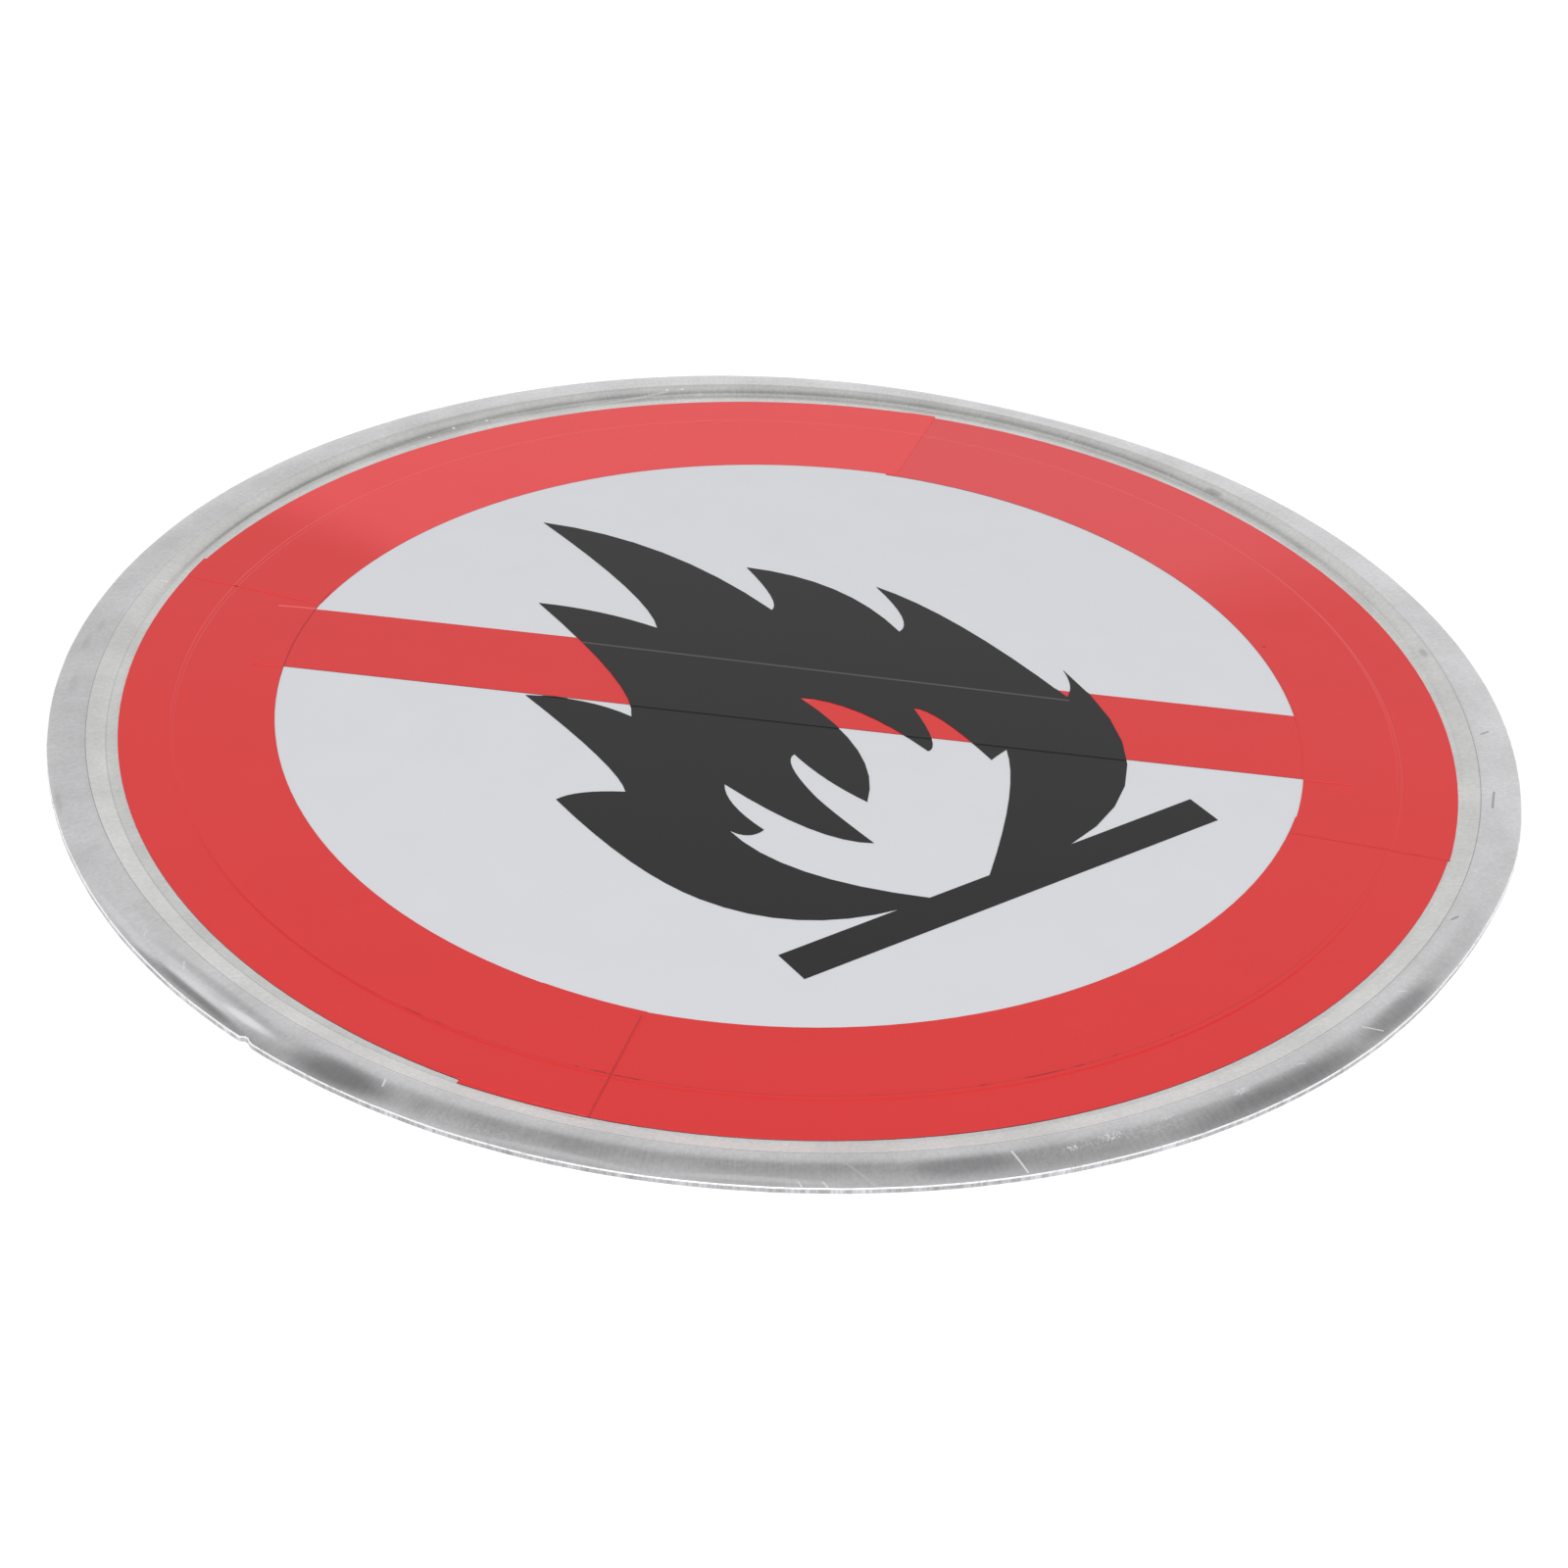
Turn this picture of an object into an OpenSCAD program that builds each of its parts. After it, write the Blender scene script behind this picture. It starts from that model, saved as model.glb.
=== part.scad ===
// Round fire safety sign: no open flame.
// A pressed aluminium plate lies face up on its back. It carries a white sheet, a red diagonal
// bar, a black flame and a red ring laid as four pieces of film that lap over each other.
// The origin is the centre of the plate's flat back, +Z points out of the face and +Y is the
// top of the symbol.

/* [Plate] */
// Diameter of the plate over its rim
plate_d = 600; // [450:1:900]
// Thickness of the aluminium sheet
plate_t = 2; // [1.5:0.1:3]
// Reach of the small nick into the cut edge
nick_depth = 1.2; // [0.5:0.1:2]
// Width of the nick along the edge
nick_w = 5; // [3:0.5:8]
// Angle of the nick around the plate
nick_at = 195.5; // [0:0.5:360]
// Distance by which the pressed bead lies off the plate's centre
press_shift = 2.4; // [0:0.1:2.5]
// Direction of that shift
press_shift_at = 40; // [-180:5:180]

/* [Rim bead] */
// Mean width of the brim from the bead's crest out to the cut edge
brim_w = 14.5; // [9:0.5:25]
// Height of the bead's crest over the face
bead_h = 2.5; // [2.4:0.1:5]
// Mean drop from the crest down to the cut edge
brim_drop = 1.6; // [0.8:0.1:1.8]
// Slope of the bead's inner side
ramp_angle = 17.5; // [12:0.5:25]
// Bend radius at the foot of the inner side
foot_r = 2; // [1:0.5:3]
// Bend radius at the top of the inner side
shoulder_r = 3; // [2.5:0.5:6]

/* [Films] */
// Thickness of the white sheet
sheet_t = 0.3; // [0.2:0.05:0.5]
// Thickness of the red and black films
film_t = 0.2; // [0.1:0.05:0.3]
// Width of the strip in which a film bridges down from an edge that it covers
bridge_w = 0.8; // [0.5:0.1:2]
// Distance by which the symbol lies off the bead's centre
symbol_shift = 2.4; // [0:0.1:2.5]
// Direction of that shift
symbol_shift_at = -90; // [-180:5:180]

/* [Ring] */
// Bare band between the bead's foot and the red ring
ring_gap = 4.5; // [4:0.5:15]
// Width of the red ring
ring_w = 62.5; // [45:0.5:80]
// Overlap of the red ring on the white sheet
ring_lap = 41; // [30:0.5:44]
// Distance by which each piece lies off centre: lower, right, upper, left
piece_slip = [6.8, 2.2, 8, 8]; // [0:0.1:9.5]
// Lower piece, lowest in the stack: start at the rim and the field, end at the rim and the field
lower_span = [210, 210, 308, 308]; // [0:0.1:450]
// Right piece, laid second
right_span = [306.4, 304.8, 403, 403]; // [0:0.1:450]
// Upper piece, laid third
upper_span = [40.5, 41.7, 126.3, 126.3]; // [0:0.1:450]
// Left piece, laid last
left_span = [123.3, 123.3, 220.2, 221.1]; // [0:0.1:450]
// Angle at which each piece meets the ring's true circle, in the same order
snug_at = [266, 36, 74, 180]; // [0:1:360]

/* [Bar] */
// Width of the diagonal bar
bar_w = 47; // [30:0.5:60]
// Angle of the bar, from the left down to the right
bar_angle = -42; // [-50:0.5:-40]
// Distance of the bar's centre line from the plate's centre, up and to the right
bar_shift = 14.8; // [0:0.1:20]
// Reach of the bar's upper end under the ring
bar_lap_upper = 15; // [5:0.5:25]
// Reach of the bar's lower end under the ring
bar_lap_lower = 20; // [5:0.5:25]

/* [Flame] */
// Clear distance from the flame's tip to the ring's field edge
flame_gap = 26; // [10:0.5:60]
// Straight pieces that stand for each curved edge of the flame
curve_steps = 8; // [4:1:16]

/* [Hidden] */
plate_r = plate_d / 2;
crest_r = plate_r - brim_w;
ramp_rise = bead_h - (foot_r + shoulder_r) * (1 - cos(ramp_angle));
ramp_w = ramp_rise / tan(ramp_angle);
face_r = crest_r - ramp_w - (foot_r + shoulder_r) * sin(ramp_angle);
brim_r = (brim_w * brim_w + brim_drop * brim_drop) / (2 * brim_drop);
trim_w = 1;
blank_w = brim_w + press_shift + trim_w;
ring_r = face_r - ring_gap;
field_r = ring_r - ring_w;
sheet_r = field_r + ring_lap;
sheet_foot_r = sheet_r + 2 * bridge_w;
above_films = 2 * (sheet_t + film_t);
nick_r = (nick_w * nick_w / 4 + nick_depth * nick_depth) / (2 * nick_depth);
far_r = 2 * plate_r;
SPANS = [lower_span, right_span, upper_span, left_span];
FLAME_TIP = [-7, 184];
$fn = 180;

function polar(r, a) = [r * cos(a), r * sin(a)];

// Points along an arc round c, both ends included
function arc(c, r, a0, a1, steps) =
  [for (i = [0 : steps]) c + polar(r, a0 + (a1 - a0) * i / steps)];

function reversed(points) = [for (i = [len(points) - 1 : -1 : 0]) points[i]];

// Points of one curved edge from corner a to corner b, drawn towards the handle h
function edge_points(a, h, b) =
  [for (i = [0 : curve_steps - 1])
    let (t = i / curve_steps)
    (1 - t) * (1 - t) * a + 2 * t * (1 - t) * h + t * t * b];

// Closed outline from rows of [corner, handle of the edge to the next corner]
function outline(rows) =
  [for (i = [0 : len(rows) - 1])
    let (next = rows[(i + 1) % len(rows)][0])
    each (len(rows[i]) == 1 ? [rows[i][0]] : edge_points(rows[i][0], rows[i][1], next))];

// Flame and ground line, clockwise from the left foot
FLAME = [
  [[-43, -135.5], [-87, -129]], [[-105, -91], [-118, -64]],
  [[-117, -6], [-107, -4]], [[-90.5, -15.5], [-83.5, -0.5]],
  [[-88, 65.5], [-66.5, 51]], [[-59, 29.5], [-45, 47]],
  [[-45, 125.5], [-24.5, 107.5]], [[-12, 82.5], [-1, 104.5]],
  [FLAME_TIP, [33.5, 143]], [[39, 70], [46.5, 73]],
  [[50, 105.5], [82, 75]], [[76.5, 27.5], [87, 30]],
  [[90, 63], [106.5, 28]], [[106.5, -50.5], [114.5, -46]],
  [[118.5, -33], [113, -121.5]], [[40, -135.5]],
  [[102, -135.5]], [[102, -152.5]], [[-99.5, -152.5]], [[-99.5, -135.5]]
];
// Heart of the flame, where the white sheet and the bar show, from its right foot
HEART = [
  [[0, -135.5], [48, -93]], [[60, -69], [52, -71]],
  [[50, -72], [53, -30.5]], [[45.5, -24.5], [38, -54.5]],
  [[31.5, -53.5], [28, -7.5]], [[9, 6], [15, -45]],
  [[-11.5, -70.5], [-18, -49.5]], [[-17, -27.5], [-24.5, -29]],
  [[-27, -55], [-28, -64]], [[-26, -95], [-45, -83.5]],
  [[-53.5, -31], [-61.5, -42]], [[-58, -65.5], [-67, -68.5]],
  [[-70, -58.5], [-71.5, -96]], [[-29, -135.5]]
];

// Section of the pressed sheet's face, or of its underside, from the centre out past the cut edge
function rim_face(lift) =
  let (steps = 8,
       foot = [face_r, foot_r],
       shoulder = [crest_r, bead_h - shoulder_r],
       brim = [crest_r, bead_h - brim_r],
       brim_end = acos(blank_w / (brim_r + lift)))
  concat(
    [[0, lift]],
    arc(foot, foot_r - lift, -90, ramp_angle - 90, steps),
    arc(shoulder, shoulder_r + lift, 90 + ramp_angle, 90, steps),
    arc(brim, brim_r + lift, 90, brim_end, steps)
  );

// Sector between the two cut ends of a ring piece, grown by a strip at each end
module cut_sector(span, grow = 0) {
  g = grow / field_r * 180 / PI;
  start = [polar(field_r, span[1] - g), polar(ring_r, span[0] - g)];
  end = [polar(field_r, span[3] + g), polar(ring_r, span[2] + g)];
  steps = 6;
  polygon(concat(
    [start[0] * 2 - start[1], start[1] * 3 - start[0] * 2],
    [for (k = [1 : steps - 1]) polar(far_r, span[0] + (span[2] - span[0]) * k / steps)],
    [end[1] * 3 - end[0] * 2, end[0] * 2 - end[1]]
  ));
}

// Plan of a ring piece: one pattern, slid off centre and cut at its two ends
module ring_plan(i)
  intersection() {
    translate(polar(piece_slip[i], snug_at[i] + 180))
      difference() {
        circle(r = ring_r + piece_slip[i]);
        circle(r = field_r + piece_slip[i]);
      }
    cut_sector(SPANS[i]);
  }

// Plan of the diagonal bar, grown by a strip all round
module bar_plan(grow = 0)
  rotate(bar_angle)
    translate([-field_r - bar_lap_upper - grow, bar_shift - bar_w / 2 - grow])
      square([2 * field_r + bar_lap_upper + bar_lap_lower + 2 * grow, bar_w + 2 * grow]);

// Everything up to the top of a film laid on the plate and over the white sheet's edge, with
// its top lifted where it crosses another film
module laid(i, lift = 0) {
  linear_extrude(film_t + lift) ring_plan(i);
  translate([0, 0, lift])
    intersection() {
      linear_extrude(sheet_t + film_t) ring_plan(i);
      cylinder(h = sheet_t + film_t, r1 = sheet_foot_r, r2 = sheet_r + film_t);
    }
}

// The same with the piece lifted where it crosses the end of a piece or bar below it
module stacked(i) {
  laid(i);
  intersection() {
    laid(i, film_t);
    linear_extrude(above_films) {
      for (j = [0 : 1 : i - 1]) cut_sector(SPANS[j], bridge_w);
      bar_plan(bridge_w);
    }
  }
}

module sheet_body() cylinder(h = sheet_t, r = sheet_r);

module bar_body()
  translate([0, 0, sheet_t]) linear_extrude(film_t) bar_plan();

module flame_plan()
  scale((field_r - flame_gap) / norm(FLAME_TIP))
    difference() {
      polygon(outline(FLAME));
      polygon(outline(HEART));
    }

module flame_body() {
  translate([0, 0, sheet_t]) linear_extrude(film_t) flame_plan();
  translate([0, 0, sheet_t + film_t])
    linear_extrude(film_t)
      intersection() {
        flame_plan();
        bar_plan(bridge_w);
      }
}

// Places what is centred on the bead, with the face at zero
module on_face()
  translate([each polar(press_shift, press_shift_at), plate_t]) children();

// Places what is centred on the symbol: all the films on the face
module on_symbol() on_face() translate(polar(symbol_shift, symbol_shift_at)) children();

// One piece of the ring, laid over the sheet, the bar and the pieces before it
module ring_piece(i)
  on_symbol()
    difference() {
      stacked(i);
      sheet_body();
      bar_body();
      for (j = [0 : 1 : i - 1]) stacked(j);
    }

module sign_plate()
  color([0.78, 0.79, 0.80])
    difference() {
      intersection() {
        on_face() rotate_extrude() polygon(concat(rim_face(0), reversed(rim_face(-plate_t))));
        cylinder(h = far_r, r = plate_r, center = true);
      }
      translate(polar(plate_r - nick_depth + nick_r, nick_at)) cylinder(h = far_r, r = nick_r);
    }

module white_sheet() color([0.84, 0.85, 0.87]) on_symbol() sheet_body();

module cross_bar() color([0.85, 0.25, 0.26]) on_symbol() bar_body();

module flame_symbol()
  color([0.19, 0.19, 0.20])
    on_symbol()
      difference() {
        flame_body();
        bar_body();
      }

module ring_lower() color([0.85, 0.25, 0.26]) ring_piece(0);

module ring_right() color([0.85, 0.27, 0.28]) ring_piece(1);

module ring_upper() color([0.87, 0.29, 0.30]) ring_piece(2);

module ring_left() color([0.84, 0.26, 0.27]) ring_piece(3);

sign_plate();
white_sheet();
cross_bar();
flame_symbol();
ring_lower();
ring_right();
ring_upper();
ring_left();
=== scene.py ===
import math

import bpy
from mathutils import Matrix, Vector, noise


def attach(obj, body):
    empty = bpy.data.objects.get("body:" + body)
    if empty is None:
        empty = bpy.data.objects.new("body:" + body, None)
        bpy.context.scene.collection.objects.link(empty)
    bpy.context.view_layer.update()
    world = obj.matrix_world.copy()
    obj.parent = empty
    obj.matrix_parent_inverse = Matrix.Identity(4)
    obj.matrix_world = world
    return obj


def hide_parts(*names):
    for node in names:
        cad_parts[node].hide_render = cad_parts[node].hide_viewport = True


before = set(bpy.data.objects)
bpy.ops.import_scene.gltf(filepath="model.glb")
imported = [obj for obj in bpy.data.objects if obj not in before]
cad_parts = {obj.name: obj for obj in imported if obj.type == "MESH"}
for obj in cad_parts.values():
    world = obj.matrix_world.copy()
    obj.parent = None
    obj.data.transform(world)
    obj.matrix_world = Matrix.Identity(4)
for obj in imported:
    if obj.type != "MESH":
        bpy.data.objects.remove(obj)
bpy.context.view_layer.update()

print("frame loaded with", len(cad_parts), "pieces")

mm = 0.001
beadShift = {"distance": 2.4 * mm, "direction": 40}  # from the plate's centre
symbolShift = {"distance": 2.4 * mm, "direction": -90}  # from the bead's centre
rimMiddle = 290 * mm


def polar(radius, degrees):
    turn = math.radians(degrees)
    return Vector((radius * math.cos(turn), radius * math.sin(turn), 0))


beadCentre = polar(beadShift["distance"], beadShift["direction"])
symbolCentre = beadCentre + polar(symbolShift["distance"], symbolShift["direction"])


# Camera

cameraSpec = {
    "place": (-0.6992, -0.9399, 0.7582),  # from the symbol's centre
    "aim": (-0.0327, -0.0428, 0.0022),  # from there too
    "lean": 3.38,  # degrees
    "lens": 77.466,
    "sensor": 36,
}


def makeCamera(spec):
    data = bpy.data.cameras.new("photoCamera")
    data.lens = spec["lens"]
    data.sensor_width = spec["sensor"]
    camera = bpy.data.objects.new("photoCamera", data)
    stand = Vector(spec["place"])
    look = (Vector(spec["aim"]) - stand).to_track_quat("-Z", "Y").to_matrix().to_4x4()
    lean = Matrix.Rotation(math.radians(spec["lean"]), 4, "Z")
    camera.matrix_world = Matrix.Translation(stand + symbolCentre) @ look @ lean
    bpy.context.scene.collection.objects.link(camera)
    bpy.context.scene.camera = camera


makeCamera(cameraSpec)
print("camera placed")


# Node helpers: each gives back the socket or node that the next one plugs into


def place(tree, kind, inputs=None, **settings):
    node = tree.nodes.new(kind)
    for key, value in settings.items():
        setattr(node, key, value)
    for key, value in (inputs or {}).items():
        if isinstance(value, bpy.types.NodeSocket):
            tree.links.new(value, node.inputs[key])
        else:
            node.inputs[key].default_value = value
    return node


def calc(tree, operation, *values):
    node = place(tree, "ShaderNodeMath", dict(enumerate(values)), operation=operation)
    return node.outputs[0]


def vector(tree, operation, *values):
    node = place(tree, "ShaderNodeVectorMath", dict(enumerate(values)), operation=operation)
    return node.outputs["Value" if operation in ("DOT_PRODUCT", "LENGTH") else "Vector"]


def scaled(tree, value, factor):
    inputs = {0: value, "Scale": factor}
    return place(tree, "ShaderNodeVectorMath", inputs, operation="SCALE").outputs["Vector"]


def fade(tree, value, low, high, start=0.0, end=1.0):
    inputs = {"Value": value, "From Min": low, "From Max": high, "To Min": start, "To Max": end}
    return place(tree, "ShaderNodeMapRange", inputs, interpolation_type="SMOOTHSTEP").outputs[0]


def times(tree, first, *others):
    for other in others:
        first = calc(tree, "MULTIPLY", first, other)
    return first


def upPart(tree, value):
    return place(tree, "ShaderNodeSeparateXYZ", {0: value}).outputs["Z"]


def mix(tree, factor, colourA, colourB):
    inputs = {0: factor, 6: colourA, 7: colourB}
    return place(tree, "ShaderNodeMix", inputs, data_type="RGBA").outputs[2]


def cloud(tree, where, scale, detail=2.0, rough=0.5):
    inputs = {"Vector": where, "Scale": scale, "Detail": detail, "Roughness": rough}
    return place(tree, "ShaderNodeTexNoise", inputs).outputs["Fac"]


def grey(value):
    return (value, value, value, 1)


def newGroup(name, inputs, outputs):
    group = bpy.data.node_groups.new(name, "ShaderNodeTree")
    for label, kind, value in inputs:
        socket = group.interface.new_socket(label, in_out="INPUT", socket_type="NodeSocket" + kind)
        socket.default_value = value
    for label, kind in outputs:
        group.interface.new_socket(label, in_out="OUTPUT", socket_type="NodeSocket" + kind)
    return group, group.nodes.new("NodeGroupInput").outputs, group.nodes.new("NodeGroupOutput").inputs


def useGroup(tree, group, **inputs):
    return place(tree, "ShaderNodeGroup", inputs, node_tree=group).outputs


def onPlan(tree):
    # Where a point lies on the sign, seen from above
    coordinates = tree.nodes.new("ShaderNodeTexCoord").outputs["Object"]
    return vector(tree, "MULTIPLY", coordinates, (1, 1, 0))


# Shared effects


def makeMottle():
    # Uneven colour of a laid film or a rolled sheet
    group, given, result = newGroup(
        "mottle",
        [("Colour", "Color", grey(0.5)), ("Scale", "Float", 40), ("Amount", "Float", 0.03)],
        [("Colour", "Color")],
    )
    where = onPlan(group)
    broad = cloud(group, where, given["Scale"], 3.0, 0.6)
    fine = cloud(group, where, calc(group, "MULTIPLY", given["Scale"], 24), 2.0, 0.7)
    both = calc(group, "ADD", broad, calc(group, "MULTIPLY", fine, 0.6))
    swing = calc(group, "MULTIPLY", calc(group, "SUBTRACT", both, 0.8), given["Amount"])
    factor = calc(group, "ADD", swing, 1)
    group.links.new(scaled(group, given["Colour"], factor), result["Colour"])
    return group


def makeMark():
    # One mark, a segment from Start to End: a scratch, chip, speck, joint line or painted highlight
    # line
    group, given, result = newGroup(
        "mark",
        [("Start", "Vector", (0, 0, 0)), ("End", "Vector", (0, 0, 0)), ("Width", "Float", mm)],
        [("Mask", "Float")],
    )
    where = onPlan(group)
    reach = vector(group, "SUBTRACT", given["End"], given["Start"])
    away = vector(group, "SUBTRACT", where, given["Start"])
    lengthSquared = calc(group, "ADD", vector(group, "DOT_PRODUCT", reach, reach), 1e-9)
    along = calc(group, "DIVIDE", vector(group, "DOT_PRODUCT", away, reach), lengthSquared)
    along.node.use_clamp = True
    nearest = scaled(group, reach, along)
    gap = vector(group, "LENGTH", vector(group, "SUBTRACT", away, nearest))
    share = calc(group, "DIVIDE", gap, given["Width"])
    group.links.new(fade(group, share, 0.35, 0.75, 1, 0), result["Mask"])
    return group


def makeSpecks():
    # Grit and pin pricks strewn over a surface
    group, given, result = newGroup(
        "specks",
        [("Scale", "Float", 60), ("Size", "Float", 0.02), ("Share", "Float", 0.1)],
        [("Mask", "Float")],
    )
    where = onPlan(group)
    cells = place(group, "ShaderNodeTexVoronoi", {"Vector": where, "Scale": given["Scale"]})
    chosen = calc(group, "LESS_THAN", cells.outputs["Color"], given["Share"])
    inside = calc(group, "LESS_THAN", cells.outputs["Distance"], given["Size"])
    group.links.new(calc(group, "MULTIPLY", chosen, inside), result["Mask"])
    return group


def makeScuffs():
    # Hair scratches that come in patches
    group, given, result = newGroup(
        "scuffs",
        [("Angle", "Float", 0), ("Patch", "Float", 12), ("Cover", "Float", 0.5)],
        [("Mask", "Float")],
    )
    where = onPlan(group)
    turned = place(
        group, "ShaderNodeVectorRotate", {"Vector": where, "Angle": given["Angle"]},
        rotation_type="Z_AXIS",
    ).outputs[0]
    drawn = vector(group, "MULTIPLY", turned, (60, 2600, 1))
    hair = fade(group, cloud(group, drawn, 1.0, 1.0), 0.66, 0.72)
    patch = cloud(group, where, given["Patch"], 2.0)
    patches = fade(group, calc(group, "ADD", patch, given["Cover"]), 1.0, 1.12)
    group.links.new(calc(group, "MULTIPLY", hair, patches), result["Mask"])
    return group


def makeSoftPatch():
    # Soft-edged oval, used for rubbed places, painted highlights and painted dark reflections on the
    # metal
    group, given, result = newGroup(
        "softPatch",
        [("Centre", "Vector", (0, 0, 0)), ("Turn", "Float", 0), ("Size", "Vector", (mm, mm, 1))],
        [("Mask", "Float")],
    )
    away = vector(group, "SUBTRACT", onPlan(group), given["Centre"])
    back = calc(group, "MULTIPLY", given["Turn"], -1)
    turned = place(
        group, "ShaderNodeVectorRotate", {"Vector": away, "Angle": back}, rotation_type="Z_AXIS"
    ).outputs[0]
    reach = vector(group, "LENGTH", vector(group, "DIVIDE", turned, given["Size"]))
    group.links.new(fade(group, reach, 0.25, 1.0, 1, 0), result["Mask"])
    return group


def makeRunMarks():
    # Fine streaks that run straight out across the rim, Pitch apart at its middle
    group, given, result = newGroup(
        "runMarks",
        [("Centre", "Vector", (0, 0, 0)), ("Pitch", "Float", mm), ("Length", "Float", 10 * mm)],
        [("Streak", "Float")],
    )
    away = vector(group, "SUBTRACT", onPlan(group), given["Centre"])
    radius = vector(group, "LENGTH", away)
    turns = calc(group, "DIVIDE", rimMiddle, given["Pitch"])
    outward = scaled(group, vector(group, "NORMALIZE", away), turns)
    rise = calc(group, "DIVIDE", radius, given["Length"])
    lift = place(group, "ShaderNodeCombineXYZ", {"Z": rise}).outputs[0]
    where = vector(group, "ADD", outward, lift)
    group.links.new(cloud(group, where, 1.0, 3.0, 0.6), result["Streak"])
    return group


def makeRingBand():
    # A circle: the line on it, what lies beyond it, and the direction of each point
    group, given, result = newGroup(
        "ringBand",
        [("Centre", "Vector", (0, 0, 0)), ("Radius", "Float", 0.2), ("Width", "Float", mm)],
        [("Line", "Float"), ("Beyond", "Float"), ("Angle", "Float")],
    )
    away = vector(group, "SUBTRACT", onPlan(group), given["Centre"])
    offset = calc(group, "SUBTRACT", vector(group, "LENGTH", away), given["Radius"])
    share = calc(group, "DIVIDE", offset, given["Width"])
    parts = place(group, "ShaderNodeSeparateXYZ", {0: away})
    angle = calc(group, "ARCTAN2", parts.outputs["Y"], parts.outputs["X"])
    group.links.new(fade(group, calc(group, "ABSOLUTE", share), 0.2, 0.5, 1, 0), result["Line"])
    group.links.new(fade(group, share, -0.5, 0.5), result["Beyond"])
    group.links.new(angle, result["Angle"])
    return group


mottle = makeMottle()
mark = makeMark()
specks = makeSpecks()
scuffs = makeScuffs()
softPatch = makeSoftPatch()
runMarks = makeRunMarks()
ringBand = makeRingBand()
print("shared effects built")


# Materials


def newMaterial(name, metallic, rough):
    material = bpy.data.materials.new(name)
    material.use_nodes = True
    tree = material.node_tree
    surface = tree.nodes["Principled BSDF"].inputs
    surface["Metallic"].default_value = metallic
    surface["Roughness"].default_value = rough
    return material, tree, surface


def addBump(tree, surface, height):
    bump = place(tree, "ShaderNodeBump", {"Height": height, "Distance": 1.0, "Strength": 1.0})
    tree.links.new(bump.outputs[0], surface["Normal"])


def ringOn(tree, centre, spec):
    return useGroup(tree, ringBand, Centre=centre, Radius=spec["radius"], Width=spec["width"])


def toward(tree, side, angle):
    # 1 near one direction round the sign and 0 beyond the side's reach, in degrees
    turn = calc(tree, "SUBTRACT", angle, math.radians(side["from"]))
    gap = calc(tree, "ARCCOSINE", calc(tree, "COSINE", turn))
    fadeStart = math.radians(side["reach"] * 0.6)
    return fade(tree, gap, fadeStart, math.radians(side["reach"]), 1, 0)


def blend(tree, masks):
    # The strongest of several masks at each point
    whole = masks[0]
    for mask in masks[1:]:
        whole = calc(tree, "MAXIMUM", whole, mask)
    return whole


def onRim(spot):
    # A place given as its distance in mm and its angle from the bead's centre
    return beadCentre + polar(spot[0] * mm, spot[1])


def scratches(tree, rows):
    masks = []
    for start, end, width, strength in rows:
        line = useGroup(tree, mark, Start=onRim(start), End=onRim(end), Width=width * mm)["Mask"]
        masks.append(times(tree, line, strength))
    return blend(tree, masks)


def softPatches(tree, rows):
    masks = []
    for spot, across, along, strength in rows:
        size = (across * mm, along * mm, 1)
        turn = math.radians(spot[1])
        oval = useGroup(tree, softPatch, Centre=onRim(spot), Turn=turn, Size=size)["Mask"]
        masks.append(times(tree, oval, strength))
    return blend(tree, masks)


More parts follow.
